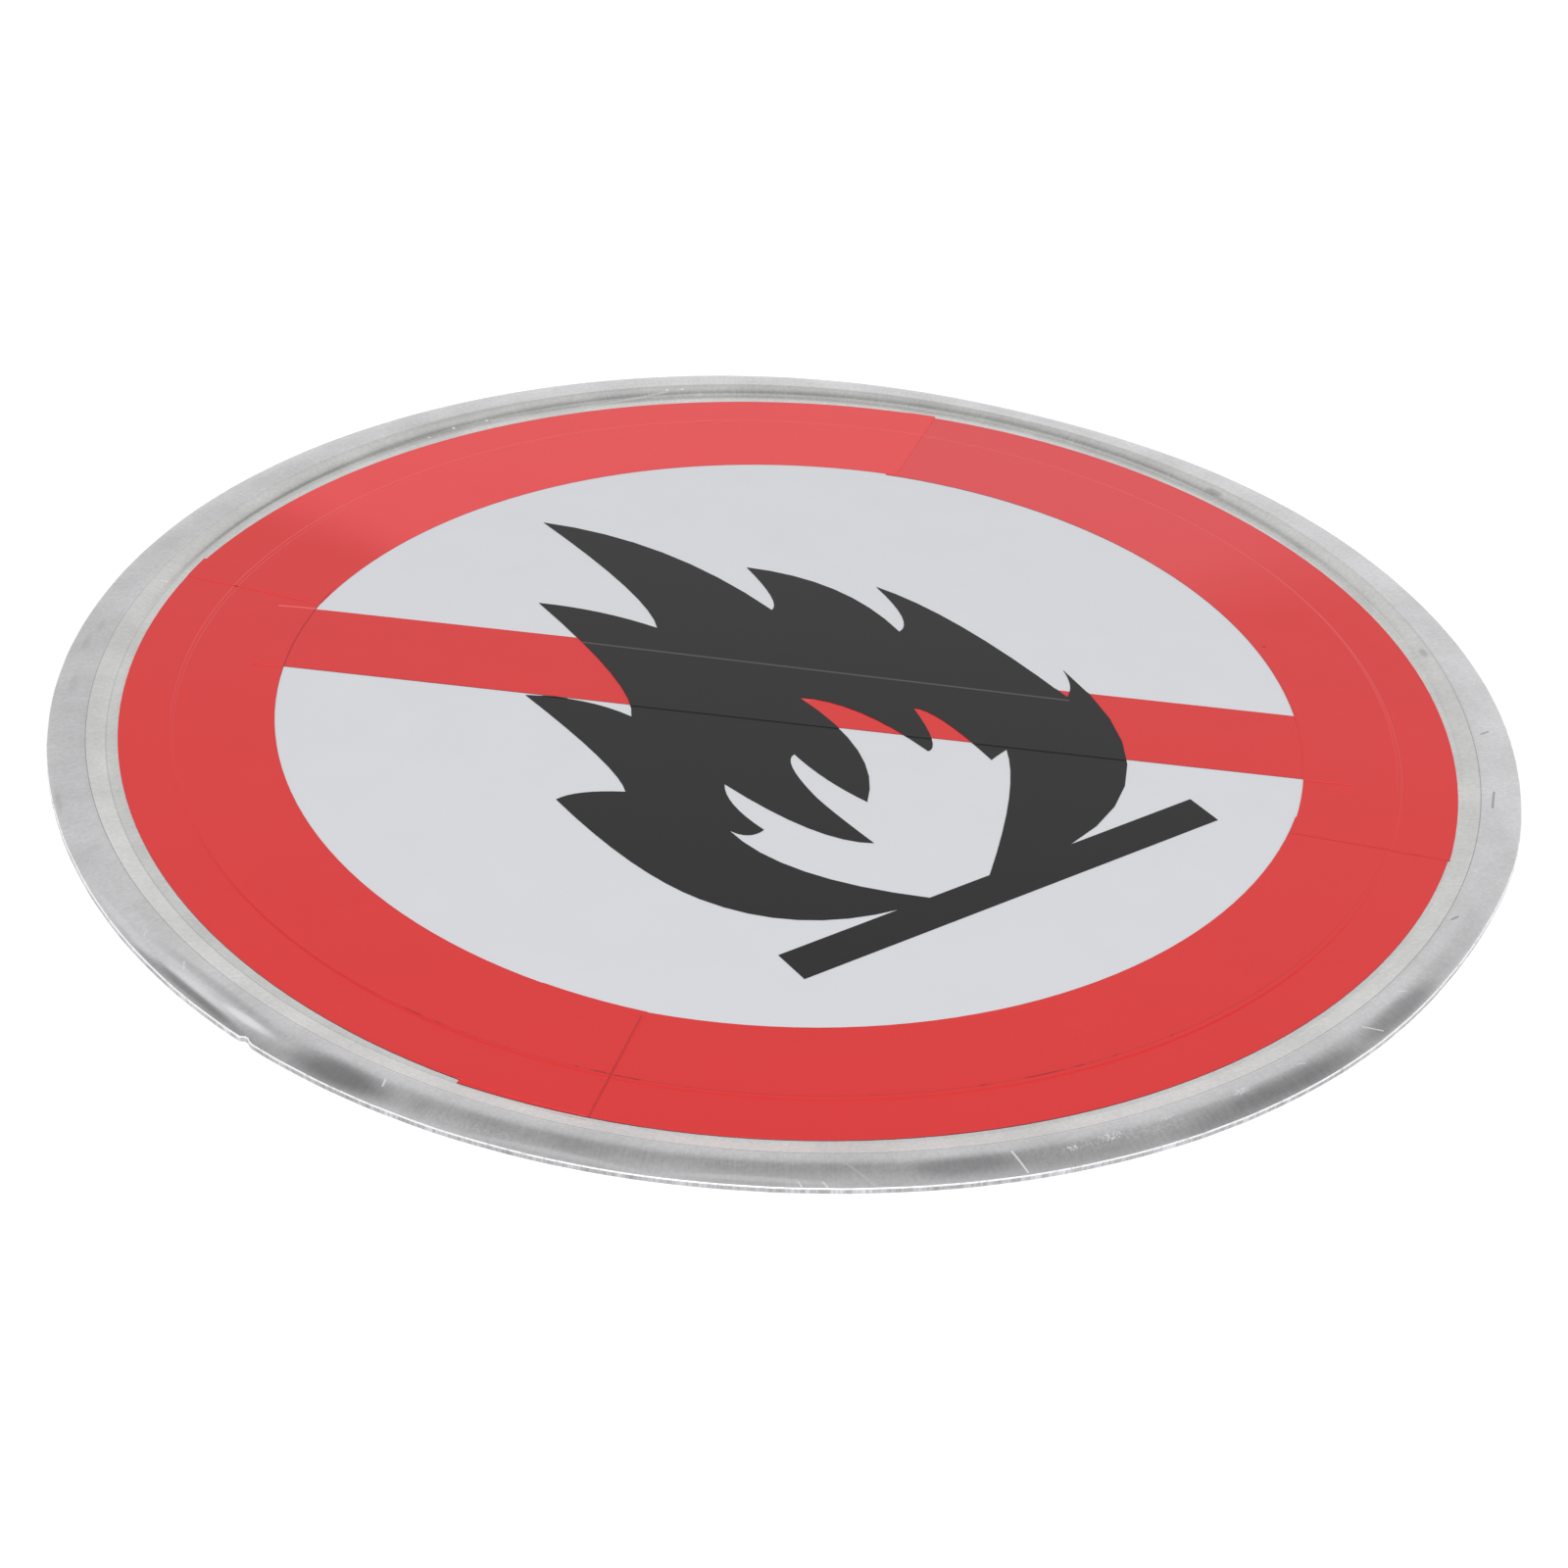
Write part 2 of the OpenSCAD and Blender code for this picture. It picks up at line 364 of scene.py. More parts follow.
aluminium = {
    # The brim's bluer colour and the slope's warmer one are a painted reflection tint
    "brimColour": (0.80, 0.793, 0.808, 1),
    "slopeColour": (0.80, 0.797, 0.79, 1),
    "wearAndHighlightColour": (0.74, 0.74, 0.76, 1),  # where handling has broken the polish, and where highlights are painted
    # Colour of the painted shade and dark reflections, and of the dark scratches
    "shadeAndScratchColour": (0.16, 0.155, 0.16, 1),
    "roughness": 0.15,
    "streak": {
        "pitch": 0.5 * mm,
        "length": 12 * mm,
        "mean": 0.42,
        "rough": 0.12,
        "shade": 0.2,
        "height": 0.005 * mm,
    },
    "clouds": {"size": 30, "shade": 0.12, "rough": 0.1},
    "grain": {"size": 520, "shade": 0.06},
    "flecks": {"size": 900, "least": 0.12},
    "hairs": {"angle": 0.4, "patch": 14, "cover": 0.42, "share": 0.12, "height": -0.006 * mm},
    "wave": {"size": 26, "height": 0.09 * mm},
    "wearAndHighlights": {"metallic": 0.15, "rough": 0.3},
    "tintEdge": {"radius": 284.6 * mm, "width": 2 * mm},  # between the two colours, which are painted reflection tints
    # The crest line is a hairline in the metal, darkened as painted shade towards one side; the foot
    # line is painted shade in the bend
    "crestLine": {"radius": 284.6 * mm, "width": 0.6 * mm, "from": 235, "reach": 125, "depth": 0.5},
    "footLine": {"radius": 276.7 * mm, "width": 0.6 * mm, "from": 160, "reach": 60, "depth": 0.22},
    # Where the pressing is softer than a true circle's: how far the shading rises or falls there
    "eased": [
        {"radius": 282.5 * mm, "width": 9 * mm, "height": -1.15 * mm, "from": 50, "reach": 150},
        {"radius": 276 * mm, "width": 6 * mm, "height": 0.65 * mm, "from": 55, "reach": 120},
        {"radius": 288.3 * mm, "width": 6 * mm, "height": 0.14 * mm, "from": 235, "reach": 90},
    ],
    # Scratches: two ends, width, strength. Soft patches: middle, width across and along the rim,
    # strength. Places are the distance in mm and the angle from the bead's centre, widths in mm.
    "lightScratches": [
        ((290, 250.8), (300, 251.3), 0.7, 0.7),
        ((291.5, 281.5), (297.5, 282.4), 0.6, 0.6),
        ((289, 286.8), (291.5, 287.4), 0.6, 0.5),
        ((290.5, 274.5), (291.5, 275), 0.7, 0.4),
        ((289.7, 206.2), (293, 206.4), 0.7, 0.6),
        ((298, 236), (300, 236.2), 0.6, 0.6),
        ((298, 237.6), (300, 237.9), 0.6, 0.6),
        ((290, 239.3), (300, 241.1), 0.8, 0.12),
        ((279, 128.6), (281, 128.8), 0.8, 0.8),
        ((291, 186.1), (293.5, 186.7), 0.7, 0.6),
        ((293, 181.4), (294.5, 181.6), 0.7, 0.6),
        ((281.7, 65.5), (281.8, 65.6), 1.0, 0.9),
        ((281.7, 67), (281.8, 67.1), 1.0, 0.9),
        ((277.8, 85.8), (277.9, 85.9), 0.9, 0.8),
        ((278.2, 89.4), (278.3, 89.5), 0.9, 0.8),
        ((276.6, 92.3), (276.8, 92.4), 0.9, 0.8),
        ((280.6, 67.1), (276.9, 85.4), 1.2, 0.25),
    ],
    "darkScratches": [
        ((289.2, 314.2), (289.8, 316.5), 0.9, 0.5),
        ((288.5, 325), (292, 325.5), 0.8, 0.5),
        ((287.3, 297.7), (288.7, 298.3), 0.9, 0.5),
    ],
    # Light patches: scuffs, and painted highlights, both broken up by the flecks
    "scuffsAndHighlights": [
        ((293, 255), 2, 3, 0.8),
        ((291.5, 258), 3, 6.5, 0.75),
        ((290.2, 262.5), 1.4, 5.5, 0.7),
        ((290.6, 269), 2, 5, 0.7),
        ((292.5, 258), 5, 60, 0.14),
        ((296.5, 214), 3, 34, 0.12),
        ((283, 357.8), 1.5, 4, 0.4),
        ((276, 30.5), 3, 5, 0.3),
        ((277.5, 41.5), 2, 18, 0.3),
        ((277.8, 64), 2, 3, 0.4),
    ],
    # Painted highlights: long soft gleams, the first three ending at the kink near the nick
    "paintedGleams": [
        ((294.6, 194), 2.6, 20, 0.855),
        ((295.6, 189), 2.6, 32, 0.54),
        ((297.4, 180), 2.4, 44, 0.36),
        ((298.6, 220), 1.8, 50, 0.2),
        ((297.6, 233), 1.8, 40, 0.23),
    ],
    # Painted dark reflections along the rim
    "paintedDarkReflections": [
        ((293.8, 140), 2.4, 9, 0.14),
        ((291.4, 137.6), 2.4, 7, 0.12),
        ((292.5, 146.5), 2.6, 10, 0.12),
        ((297.7, 163), 1.8, 10, 0.16),
        ((281.9, 338.2), 2, 5, 0.3),
        ((280.6, 10.3), 2.5, 7, 0.35),
        ((279.5, 31.5), 3.5, 14, 0.1),
        ((279.5, 52), 3.5, 30, 0.1),
        ((279.5, 71), 3.5, 24, 0.1),
        ((284, 87), 3.5, 44, 0.12),
        ((296, 203), 9, 30, 0.64),
        ((298.4, 188.5), 2.6, 44, 0.58),
        ((290.5, 190), 3, 60, 0.22),
        ((294, 247.5), 7, 28, 0.36),
        ((295.5, 285), 6, 34, 0.4),
        ((295.5, 272), 6, 60, 0.28),
    ],
}


def lineRound(tree, spec):
    # A line on one circle, darkened as painted shade and fading out away from the side that it is
    # clearest on
    band = ringOn(tree, beadCentre, spec)
    return times(tree, band["Line"], toward(tree, spec, band["Angle"]), spec["depth"])


def easedBends(tree, rows, height):
    for row in rows:
        band = ringOn(tree, beadCentre, row)
        share = times(tree, band["Beyond"], toward(tree, row, band["Angle"]))
        height = calc(tree, "MULTIPLY_ADD", share, row["height"], height)
    return height


def makeAluminium(spec):
    material, tree, surface = newMaterial("pressedAluminium", 1.0, spec["roughness"])
    where = onPlan(tree)
    clouds, grain, flecks, hair = spec["clouds"], spec["grain"], spec["flecks"], spec["hairs"]
    run, wave, brightMarks = spec["streak"], spec["wave"], spec["wearAndHighlights"]
    patchy = cloud(tree, where, clouds["size"], 4.0, 0.6)
    fine = cloud(tree, where, grain["size"], 2.0, 0.7)
    dotted = cloud(tree, where, flecks["size"], 2.0, 0.6)
    streaks = useGroup(tree, runMarks, Centre=beadCentre, Pitch=run["pitch"], Length=run["length"])
    streak = streaks["Streak"]
    scuffed = useGroup(tree, scuffs, Angle=hair["angle"], Patch=hair["patch"], Cover=hair["cover"])
    hairs = scuffed["Mask"]
    shade = times(
        tree,
        calc(tree, "MULTIPLY_ADD", streak, run["shade"], 1 - run["shade"] * run["mean"]),
        fade(tree, patchy, 0.25, 0.75, 1 - clouds["shade"], 1.05),
        fade(tree, fine, 0.3, 0.7, 1 - grain["shade"], 1 + grain["shade"] / 2),
    )
    # Painted reflection tint: slope and brim coloured apart at the crest
    outside = ringOn(tree, beadCentre, spec["tintEdge"])["Beyond"]
    tone = scaled(tree, mix(tree, outside, spec["slopeColour"], spec["brimColour"]), shade)
    broken = fade(tree, dotted, 0.46, 0.6, flecks["least"], 1)
    # Wear and painted highlights: lighter, less metallic and rougher metal
    wearAndHighlights = blend(tree, [
        times(tree, softPatches(tree, spec["scuffsAndHighlights"]), broken),
        softPatches(tree, spec["paintedGleams"]),
        scratches(tree, spec["lightScratches"]),
        times(tree, hairs, hair["share"]),
    ])
    # Painted shade and dark reflections, with the real dark scratches
    shadeAndScratches = blend(tree, [
        softPatches(tree, spec["paintedDarkReflections"]),
        scratches(tree, spec["darkScratches"]),
        lineRound(tree, spec["crestLine"]),
        lineRound(tree, spec["footLine"]),
    ])
    tone = mix(tree, shadeAndScratches, tone, spec["shadeAndScratchColour"])
    tree.links.new(mix(tree, wearAndHighlights, tone, spec["wearAndHighlightColour"]), surface["Base Color"])
    tree.links.new(calc(tree, "MULTIPLY_ADD", wearAndHighlights, brightMarks["metallic"] - 1, 1), surface["Metallic"])
    rough = spec["roughness"] - run["rough"] * run["mean"]
    rough = calc(tree, "MULTIPLY_ADD", streak, run["rough"], rough)
    rough = calc(tree, "MULTIPLY_ADD", patchy, clouds["rough"], rough)
    tree.links.new(calc(tree, "MULTIPLY_ADD", wearAndHighlights, brightMarks["rough"], rough), surface["Roughness"])
    height = times(tree, cloud(tree, where, wave["size"], 1.0), wave["height"])
    height = calc(tree, "MULTIPLY_ADD", streak, run["height"], height)
    height = easedBends(tree, spec["eased"], height)
    addBump(tree, surface, calc(tree, "MULTIPLY_ADD", hairs, hair["height"], height))
    return material


# A near-white strip on the roll-over: a painted highlight
paintedHighlightCorner = {
    "colour": (0.92, 0.92, 0.93, 1),
    "dullColour": (0.7, 0.7, 0.7, 1),
    "metallic": 0.25,
    "roughness": 0.3,
    "brightMarks": {"pitch": 2.2 * mm, "length": 40 * mm},
}


def makeCorner(spec):
    # Painted highlight along the corner between the brim and its cut edge, with brighter dashes
    material, tree, surface = newMaterial("paintedHighlightCorner", spec["metallic"], spec["roughness"])
    brightMarks = spec["brightMarks"]
    streaks = useGroup(tree, runMarks, Centre=beadCentre, Pitch=brightMarks["pitch"], Length=brightMarks["length"])
    bright = fade(tree, streaks["Streak"], 0.34, 0.46)
    tree.links.new(mix(tree, bright, spec["dullColour"], spec["colour"]), surface["Base Color"])
    return material


cutEdge = {
    "colour": (0.50, 0.50, 0.52),
    "metallic": 0.6,
    "roughness": (0.35, 0.6),
    "tears": {"pitch": 1.4 * mm, "length": 40 * mm, "shade": 0.3, "height": 0.05 * mm},
    "clouds": {"size": 60, "shade": 0.25},
}


def makeCutEdge(spec):
    # Sheared edge of the sheet: dull, with upright tear marks
    smooth, coarse = spec["roughness"]
    material, tree, surface = newMaterial("cutEdge", spec["metallic"], coarse)
    tear, clouds = spec["tears"], spec["clouds"]
    streaks = useGroup(tree, runMarks, Centre=beadCentre, Pitch=tear["pitch"], Length=tear["length"])
    tears = streaks["Streak"]
    patchy = cloud(tree, onPlan(tree), clouds["size"], 3.0, 0.6)
    shade = times(
        tree,
        fade(tree, tears, 0.3, 0.7, 1 - tear["shade"], 1.25),
        fade(tree, patchy, 0.3, 0.7, 1 - clouds["shade"], 1.2),
    )
    tree.links.new(scaled(tree, spec["colour"], shade), surface["Base Color"])
    tree.links.new(fade(tree, tears, 0.3, 0.7, smooth, coarse), surface["Roughness"])
    addBump(tree, surface, times(tree, tears, tear["height"]))
    return material


def filmColour(tree, spec, colour):
    # Slightly uneven film with grit strewn over it
    uneven, grit = spec["uneven"], spec["grit"]
    film = useGroup(tree, mottle, Colour=colour, Scale=uneven["size"], Amount=uneven["amount"])
    dots = useGroup(tree, specks, Scale=grit["scale"], Size=grit["size"], Share=grit["share"])
    strength = times(tree, dots["Mask"], grit["strength"])
    return mix(tree, strength, film["Colour"], grit["colour"])


def addRipple(tree, surface, ripple):
    level = cloud(tree, onPlan(tree), ripple["size"], 2.0)
    addBump(tree, surface, times(tree, level, ripple["height"]))


whiteSheeting = {
    "colour": (0.64, 0.652, 0.685, 1),
    "roughness": 0.34,
    "uneven": {"size": 30, "amount": 0.05},
    "grit": {"scale": 45, "size": 0.012, "share": 0.08, "strength": 0.35, "colour": grey(0.25)},
    "ripple": {"size": 1400, "height": 0.01 * mm},
}


def makeWhite(spec):
    material, tree, surface = newMaterial("whiteSheeting", 0.0, spec["roughness"])
    tree.links.new(filmColour(tree, spec, spec["colour"]), surface["Base Color"])
    addRipple(tree, surface, spec["ripple"])
    return material


def facesSideways(tree):
    # 1 on the films' thin walls, 0 on their faces
    normal = tree.nodes.new("ShaderNodeNewGeometry").outputs["True Normal"]
    return calc(tree, "LESS_THAN", upPart(tree, normal), 0.5)


def isAbove(tree, height):
    coordinates = tree.nodes.new("ShaderNodeTexCoord").outputs["Object"]
    return calc(tree, "GREATER_THAN", upPart(tree, coordinates), height)


def linesOn(tree, rows):
    # Straight marks given in mm from the symbol's centre
    masks = []
    for start, end, width, strength in rows:
        ends = [symbolCentre + Vector((*spot, 0)) * mm for spot in (start, end)]
        line = useGroup(tree, mark, Start=ends[0], End=ends[1], Width=width * mm)["Mask"]
        masks.append(times(tree, line, strength))
    return blend(tree, masks)


redFilm = {
    # Each tone turns into another one towards one side of the sign
    "plain": {
        "name": "redFilm",
        "colour": (0.66, 0.018, 0.018, 1),
        # Painted shade on this film's edge walls
        "paintedWall": (0.16, 0.01, 0.03, 1),
        "turns": {"colour": (0.71, 0.046, 0.052, 1), "from": 36, "reach": 50},
    },
    "pale": {
        "name": "paleRedFilm",
        "colour": (0.775, 0.045, 0.049, 1),
        # Painted shade on this film's edge walls
        "paintedWall": (0.52, 0.03, 0.035, 1),
        "turns": {"colour": (0.66, 0.018, 0.018, 1), "from": 134, "reach": 28},
    },
    "roughness": 0.32,
    "uneven": {"size": 26, "amount": 0.06},
    "grit": {"scale": 38, "size": 0.014, "share": 0.1, "strength": 0.3, "colour": (0.8, 0.3, 0.3, 1)},
    "ripple": {"size": 60, "height": 0.02 * mm},
    # Painted light on the thin walls: a painted highlight on steps over another film, painted shade
    # at the near crease
    "stepHighlightWall": (1.0, 0.13, 0.13, 1),
    "nearShadeWall": (0.46, 0.014, 0.016, 1),
    # Walls above these heights are steps over another film, on the white sheet and beyond it
    "buriedAbove": {"inside": 2.51 * mm, "outside": 2.21 * mm},
    # Painted highlight lines; painted shade lines, also used for the dark joints
    "paintedHighlightLine": (0.95, 0.14, 0.14, 1),
    "shadeAndJointLine": (0.34, 0.008, 0.012, 1),
    # Ring where the film bends down off the white sheet: painted highlight on the far side, painted
    # shade on the near
    "crease": {
        "radius": 251.4 * mm,
        "width": 1.0 * mm,
        "farSide": {"from": 55, "reach": 110, "depth": 0.28},
        "nearSide": {"from": 237, "reach": 75, "depth": 0.22},
        "dashes": [{"from": 213, "reach": 18}, {"from": 261, "reach": 24}],
        "breaks": 110,
    },
    # Painted shadow where the left piece's inner edge crosses the bar
    "barEdgeShadow": {
        "centre": polar(8 * mm, 0),
        "radius": 217.8 * mm,
        "width": 0.8 * mm,
        "from": 135,
        "reach": 12,
        "depth": 0.8,
    },
    # Two ends in mm from the symbol's centre, width in mm, strength
    # A painted highlight along a step where one piece laps another
    "lightLines": [
        ((-142, 178.7), (-127.4, 166.5), 1.0, 0.6),
    ],
    "darkLines": [
        ((-162.8, -140.0), (-209.3, -178.1), 0.8, 0.55),
        ((121.0, -174.1), (162.9, -220.9), 1.2, 0.35),
        ((205.8, -62.3), (206, -62.1), 1.4, 0.8),
    ],
}


def makeRed(spec, tone):
    material, tree, surface = newMaterial(tone["name"], 0.0, spec["roughness"])
    crease, barShadow, heights = spec["crease"], spec["barEdgeShadow"], spec["buriedAbove"]
    bend = ringOn(tree, beadCentre, crease)
    turned = toward(tree, tone["turns"], bend["Angle"])
    colour = mix(tree, turned, filmColour(tree, spec, tone["colour"]), tone["turns"]["colour"])
    farSide = toward(tree, crease["farSide"], bend["Angle"])
    nearSide = toward(tree, crease["nearSide"], bend["Angle"])
    broken = fade(tree, cloud(tree, onPlan(tree), crease["breaks"], 2.0), 0.45, 0.6)
    dashes = blend(tree, [toward(tree, dash, bend["Angle"]) for dash in crease["dashes"]])
    near = blend(tree, [
        times(tree, dashes, broken),
        times(tree, nearSide, crease["nearSide"]["depth"]),
    ])
    light = blend(tree, [
        times(tree, bend["Line"], farSide, crease["farSide"]["depth"]),
        linesOn(tree, spec["lightLines"]),
    ])
    arc = ringOn(tree, symbolCentre + barShadow["centre"], barShadow)
    dark = blend(tree, [
        times(tree, bend["Line"], near),
        linesOn(tree, spec["darkLines"]),
        times(tree, arc["Line"], toward(tree, barShadow, arc["Angle"]), barShadow["depth"]),
    ])
    # Painted highlights at the far crease and a step; painted shade at the near crease and along the
    # bar; dark joints
    colour = mix(tree, light, colour, spec["paintedHighlightLine"])
    colour = mix(tree, dark, colour, spec["shadeAndJointLine"])
    least = fade(tree, bend["Beyond"], 0, 1, heights["inside"], heights["outside"])
    nearCrease = times(tree, nearSide, bend["Line"])
    stepWall = mix(tree, nearCrease, spec["stepHighlightWall"], spec["nearShadeWall"])
    # Painted shade on the films' edge walls, painted light on the steps
    paintedWall = mix(tree, isAbove(tree, least), tone["paintedWall"], stepWall)
    tree.links.new(mix(tree, facesSideways(tree), colour, paintedWall), surface["Base Color"])
    addRipple(tree, surface, spec["ripple"])
    return material


blackFilm = {
    "colour": (0.0038, 0.0034, 0.0038, 1),
    "roughness": 0.36,
    "specular": 0.4,
    "uneven": {"size": 26, "amount": 0.2},
    "grit": {"scale": 50, "size": 0.014, "share": 0.12, "strength": 0.2, "colour": grey(0.3)},
    "ripple": {"size": 60, "height": 0.02 * mm},
    # Walls painted lighter than the film, to lift the shade on them
    "paintedWall": (0.02, 0.02, 0.021, 1),
    "paintedHighlightLine": (0.075, 0.072, 0.074, 1),
    # The bar's upper edge, which shows through the flame, with a painted highlight along it
    "lightLines": [((-47.2, 89.5), (105, -52.9), 0.9, 0.9)],
}


def makeBlack(spec):
    material, tree, surface = newMaterial("blackFilm", 0.0, spec["roughness"])
    surface["Specular IOR Level"].default_value = spec["specular"]
    colour = filmColour(tree, spec, spec["colour"])
    colour = mix(tree, linesOn(tree, spec["lightLines"]), colour, spec["paintedHighlightLine"])
    tree.links.new(mix(tree, facesSideways(tree), colour, spec["paintedWall"]), surface["Base Color"])
    addRipple(tree, surface, spec["ripple"])
    return material


def dress(material, *nodes):
    for name in nodes:
        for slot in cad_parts[name].material_slots:
            slot.material = material


plateFinishes = [makeAluminium(aluminium), makeCorner(paintedHighlightCorner), makeCutEdge(cutEdge)]
plainRed = makeRed(redFilm, redFilm["plain"])
paleRed = makeRed(redFilm, redFilm["pale"])
dress(plateFinishes[0], "sign_plate")
dress(makeWhite(whiteSheeting), "white_sheet")
dress(plainRed, "cross_bar", "ring_lower", "ring_right", "ring_left")
dress(paleRed, "ring_upper")
dress(makeBlack(blackFilm), "flame_symbol")
print("materials made and given to the pieces")


# Pressed plate: a turned section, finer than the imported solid's mesh

plate = {
    "radius": 300 * mm,
    "thickness": 2 * mm,
    "face": 2 * mm,  # height of the flat face
    "foot": 2 * mm,  # bend radius at the slope's foot
    "slope": 17.5,
    "shoulder": 3 * mm,  # bend radius at its top
    "brimWidth": 14.5 * mm,
    "brimDrop": 1.6 * mm,
    "beadHeight": 2.5 * mm,
    "rollOver": 0.6 * mm,
    "underCorner": 0.1 * mm,
    "tearDepth": 0.35 * mm,
    "edgeWobble": 0.12 * mm,
    "nick": {"at": 195.5, "width": 5 * mm, "depth": 1.2 * mm},
    "turns": 1200,
    "steps": {"foot": 7, "shoulder": 9, "brim": 14, "rollOver": 5, "tear": 5, "under": 10},
    # Places where handling has pushed the rim in (or out, below zero) or down
    "dents": [
        {"at": 30, "reach": 26, "inward": 3.2 * mm, "down": 0.5 * mm},
        {"at": 53, "reach": 46, "inward": 1.6 * mm, "down": 0.35 * mm},
        {"at": 112, "reach": 24, "inward": -0.8 * mm, "down": 0},
        {"at": 167, "reach": 30, "inward": 1.1 * mm, "down": 0},
        {"at": 236, "reach": 24, "inward": 1.2 * mm, "down": 0},
        {"at": 293, "reach": 16, "inward": 1.3 * mm, "down": 0},
        {"at": 309, "reach": 8, "inward": -0.6 * mm, "down": 0},
        {"at": 325, "reach": 32, "inward": -1.8 * mm, "down": 0},
    ],
}


def addPlateSizes(spec):
    # Sizes that follow from the ones above
    lean = math.radians(spec["slope"])
    bends = spec["foot"] + spec["shoulder"]
    rise = spec["beadHeight"] - bends * (1 - math.cos(lean))
    width, drop = spec["brimWidth"], spec["brimDrop"]
    spec["crestRadius"] = spec["radius"] - width
    spec["footRadius"] = spec["crestRadius"] - rise / math.tan(lean) - bends * math.sin(lean)
    spec["brimBend"] = (width ** 2 + drop ** 2) / (2 * drop)


def arcPoints(centre, radius, start, end, steps):
    # Section points from one lean to another, measured from straight up
    points = []
    for step in range(steps + 1):
        lean = start + (end - start) * step / steps
        points.append((centre[0] + radius * math.sin(lean), centre[1] + radius * math.cos(lean)))
    return points


def edgeReach(spec, degrees):
    # Distance from the bead's centre out to the cut edge in one direction
    turn = math.radians(degrees - beadShift["direction"])
    across = beadShift["distance"] * math.sin(turn)
    return math.sqrt(spec["radius"] ** 2 - across ** 2) - beadShift["distance"] * math.cos(turn)


def nickDepth(spec, degrees):
    nick = spec["nick"]
    gap = spec["radius"] * math.radians(degrees - nick["at"])
    return nick["depth"] * max(0.0, 1 - (2 * gap / nick["width"]) ** 2)


def bendArcs(spec, lift):
    # Foot and shoulder of the bead's section, on the face (lift 0) or on the underside
    slope, steps = math.radians(spec["slope"]), spec["steps"]
    foot = (spec["footRadius"], spec["face"] + spec["foot"])
    crown = (spec["crestRadius"], spec["face"] + spec["beadHeight"] - spec["shoulder"])
    points = arcPoints(foot, spec["foot"] - lift, math.pi, math.pi - slope, steps["foot"])
    return points + arcPoints(crown, spec["shoulder"] + lift, -slope, 0, steps["shoulder"])


def tornEdge(spec, degrees, edge, top, bottom):
    # Lower part of the sheared edge, torn deeper the lower it is
    points = []
    for step in range(1, spec["steps"]["tear"]):
        down = step / spec["steps"]["tear"]
        tear = noise.noise(Vector((degrees * 1.7, down * 2, 8)))
        inward = abs(tear) * spec["tearDepth"] * down
        points.append((edge - inward, top + (bottom - top) * down))
    return points


def sectionAt(spec, degrees):
    # Section from the face over the rim to the underside, and its rows at the corner and the edge
    crest, brim, small = spec["crestRadius"], spec["brimBend"], spec["rollOver"]
    under, steps = spec["brimBend"] - spec["thickness"], spec["steps"]
    edge = edgeReach(spec, degrees) - nickDepth(spec, degrees)
    wobble = noise.noise(Vector((edge, degrees * 0.35, 3)))
    edge -= (1 + wobble) * spec["edgeWobble"]
    hub = (crest, spec["face"] + spec["beadHeight"] - brim)
    lean = math.asin((edge - small - crest) / (brim - small))
    turnIn = (edge - small, hub[1] + math.cos(lean) * (brim - small))
    lowLean = math.asin((edge - spec["underCorner"] - crest) / under)
    low = arcPoints(hub, under, lowLean, 0, steps["under"])
    points = bendArcs(spec, 0) + arcPoints(hub, brim, 0, lean, steps["brim"])[1:]
    cornerStart = len(points) - 1
    points += arcPoints(turnIn, small, lean, math.pi / 2, steps["rollOver"])[1:]
    edgeStart = len(points) - 2
    points += tornEdge(spec, degrees, edge, turnIn[1], low[0][1] + spec["underCorner"])
    bands = [(cornerStart, edgeStart), (edgeStart, len(points))]
    return points + low + bendArcs(spec, -spec["thickness"])[::-1][1:], bands


def dentAt(spec, degrees):
    inward = down = 0.0
    for dent in spec["dents"]:
        gap = (degrees - dent["at"] + 180) % 360 - 180
        share = math.exp(-((gap / dent["reach"]) ** 2) * 2)
        inward += dent["inward"] * share
        down += dent["down"] * share
    return inward, down


def plateVertices(spec):
    vertices = []
    slopeWidth = spec["radius"] - spec["footRadius"]
    for turn in range(spec["turns"]):
        degrees = 360 * turn / spec["turns"]
        inward, down = dentAt(spec, degrees)
        section, bands = sectionAt(spec, degrees)
        for radius, height in section:
            share = max(0.0, (radius - spec["footRadius"]) / slopeWidth)
            point = polar(radius - inward * share, degrees) + beadCentre
            vertices.append((point.x, point.y, height - down * share))
    return vertices, len(section), bands


def plateFaces(turns, rows):
    faces = []
    for turn in range(turns):
        here, there = turn * rows, (turn + 1) % turns * rows
        for row in range(rows - 1):
            faces.append((here + row, here + row + 1, there + row + 1, there + row))
    return faces


def closeFlat(vertices, faces, turns, rows, row, height):
    # Flat disc inside the first row (the face) or the last one (the back)
    centre = len(vertices)
    vertices.append((beadCentre.x, beadCentre.y, height))
    for turn in range(turns):
        pair = [turn * rows + row, (turn + 1) % turns * rows + row]
        faces.append((centre, *(pair if row == 0 else reversed(pair))))


def makePlate(spec, finishes):
    turns = spec["turns"]
    vertices, rows, bands = plateVertices(spec)
    faces = plateFaces(turns, rows)
    closeFlat(vertices, faces, turns, rows, 0, spec["face"])
    closeFlat(vertices, faces, turns, rows, rows - 1, spec["face"] - spec["thickness"])
    mesh = bpy.data.meshes.new("plateShell")
    mesh.from_pydata(vertices, [], faces)
    mesh.shade_smooth()
    mesh.set_sharp_from_angle(angle=math.radians(50))
    for finish in finishes:
        mesh.materials.append(finish)
    for slot, band in enumerate(bands, 1):
        for turn in range(turns):
            for row in range(*band):
                mesh.polygons[turn * (rows - 1) + row].material_index = slot
    shell = bpy.data.objects.new("plateShell", mesh)
    bpy.context.scene.collection.objects.link(shell)
    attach(shell, "root")
    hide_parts("sign_plate")
    print("plate turned with", len(faces), "faces")


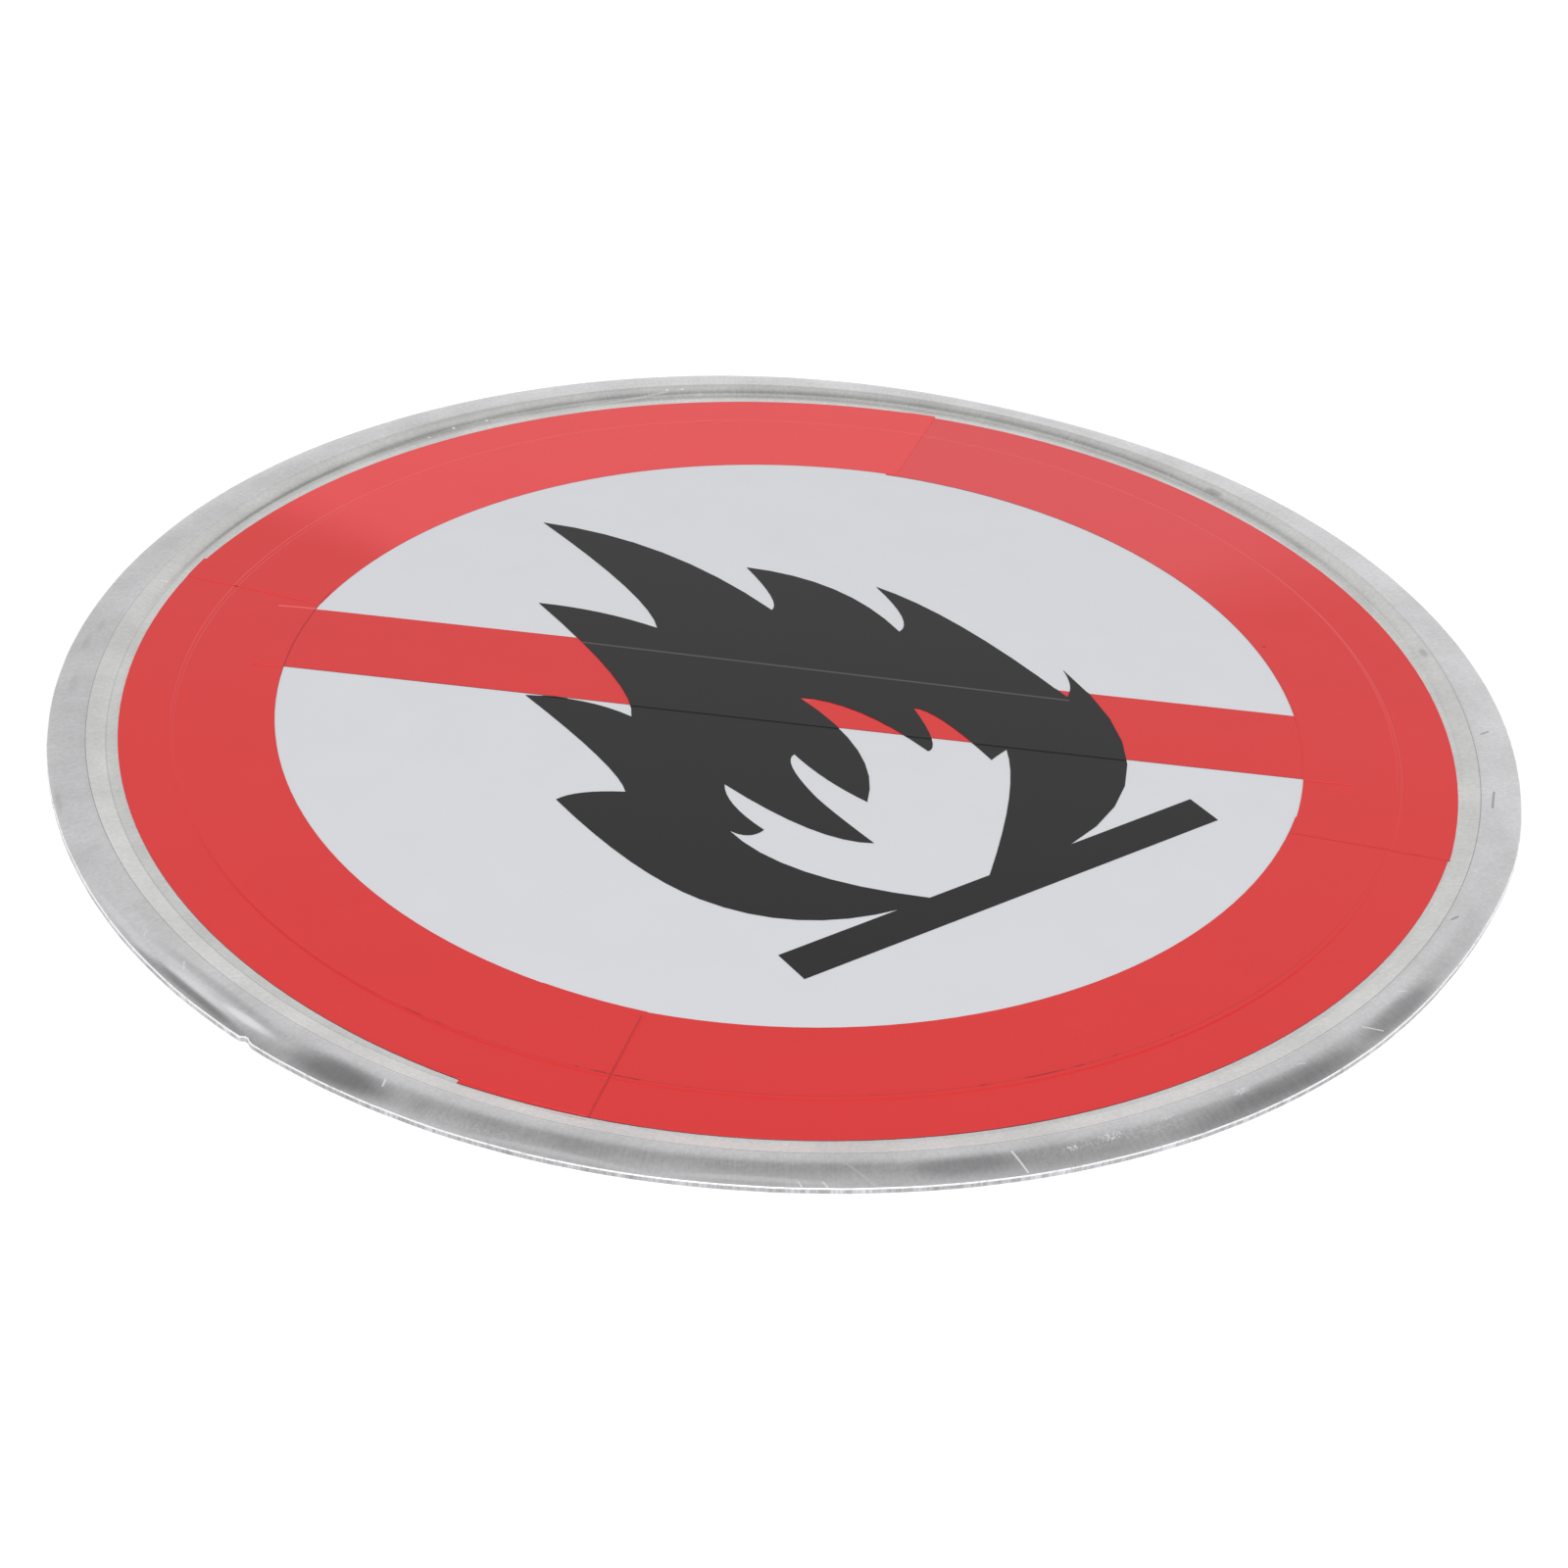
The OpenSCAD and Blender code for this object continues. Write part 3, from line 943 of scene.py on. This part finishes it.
addPlateSizes(plate)
makePlate(plate, plateFinishes)


# Floor, lamps and world

studio = {
    "floorHalf": 20,
    "floorColour": 0.8,
    "floorRoughness": 0.9,
    "floorLift": 0.4,  # what the floor adds for the camera and in reflections
    "sky": [  # sine of the elevation, and the world's strength there
        (0.0, 0.80),
        (0.42, 0.80),
        (0.62, 0.75),
        (0.67, 0.70),
        (0.74, 0.375),
        (0.83, 0.37),
        (0.89, 0.56),
        (0.95, 0.60),
    ],
    "panels": [  # soft pale and dark panels: where, how wide in degrees, and the change they make
        {"azimuth": 77, "elevation": 27, "spread": 16, "change": -0.13},
        {"azimuth": 78, "elevation": 46, "spread": 6, "change": 0.35},
        {"azimuth": 88, "elevation": 60, "spread": 7, "change": 0.25},
        {"azimuth": 25, "elevation": 43, "spread": 9, "change": -0.2},
    ],
    "lamps": [
        {"azimuth": 238, "elevation": 56, "distance": 4.5, "size": 2.4, "power": 106},
    ],
}


def makeFloor(spec):
    half = spec["floorHalf"]
    mesh = bpy.data.meshes.new("floor")
    corners = [(-half, -half, 0), (half, -half, 0), (half, half, 0), (-half, half, 0)]
    mesh.from_pydata(corners, [], [(0, 1, 2, 3)])
    floor = bpy.data.objects.new("floor", mesh)
    floor.location.z = -0.1 * mm
    bpy.context.scene.collection.objects.link(floor)
    material, tree, surface = newMaterial("paleFloor", 0.0, spec["floorRoughness"])
    surface["Base Color"].default_value = grey(spec["floorColour"])
    surface["Specular IOR Level"].default_value = 0.0
    rays = tree.nodes.new("ShaderNodeLightPath").outputs
    seen = calc(tree, "MAXIMUM", rays["Is Camera Ray"], rays["Is Glossy Ray"])
    seen = calc(tree, "MAXIMUM", seen, rays["Is Transmission Ray"])
    surface["Emission Color"].default_value = grey(1)
    tree.links.new(calc(tree, "MULTIPLY", seen, spec["floorLift"]), surface["Emission Strength"])
    mesh.materials.append(material)


def aimAt(azimuth, elevation):
    rise = math.radians(elevation)
    return polar(math.cos(rise), azimuth) + Vector((0, 0, math.sin(rise)))


def makeLamp(index, spec):
    data = bpy.data.lights.new(f"softLamp{index}", "AREA")
    data.shape = "DISK"
    data.size = spec["size"]
    data.energy = spec["power"]
    lamp = bpy.data.objects.new(data.name, data)
    offset = aimAt(spec["azimuth"], spec["elevation"])
    lamp.location = offset * spec["distance"]
    lamp.rotation_mode = "QUATERNION"
    lamp.rotation_quaternion = (-offset).to_track_quat("-Z", "Y")
    bpy.context.scene.collection.objects.link(lamp)


def makeWorld(spec):
    world = bpy.data.worlds.new("studio")
    world.use_nodes = True
    bpy.context.scene.world = world
    tree = world.node_tree
    where = tree.nodes.new("ShaderNodeTexCoord").outputs["Generated"]
    ramp = place(tree, "ShaderNodeValToRGB", {"Fac": upPart(tree, where)})
    stops = ramp.color_ramp.elements
    for index, (sine, strength) in enumerate(spec["sky"]):
        stop = stops[index] if index < 2 else stops.new(sine)
        stop.position = sine
        stop.color = grey(strength)
    ramp.color_ramp.interpolation = "EASE"
    level = ramp.outputs["Color"]
    for panel in spec["panels"]:
        facing = vector(tree, "DOT_PRODUCT", where, aimAt(panel["azimuth"], panel["elevation"]))
        outer = math.cos(math.radians(panel["spread"]))
        inner = math.cos(math.radians(panel["spread"] * 0.3))
        level = calc(tree, "ADD", level, fade(tree, facing, outer, inner, 0, panel["change"]))
    background = tree.nodes["Background"]
    background.inputs["Color"].default_value = grey(1)
    tree.links.new(level, background.inputs["Strength"])


makeFloor(studio)
for number, lampSpec in enumerate(studio["lamps"]):
    makeLamp(number, lampSpec)
makeWorld(studio)
bpy.context.scene.view_settings.view_transform = "Standard"
print("studio lit")
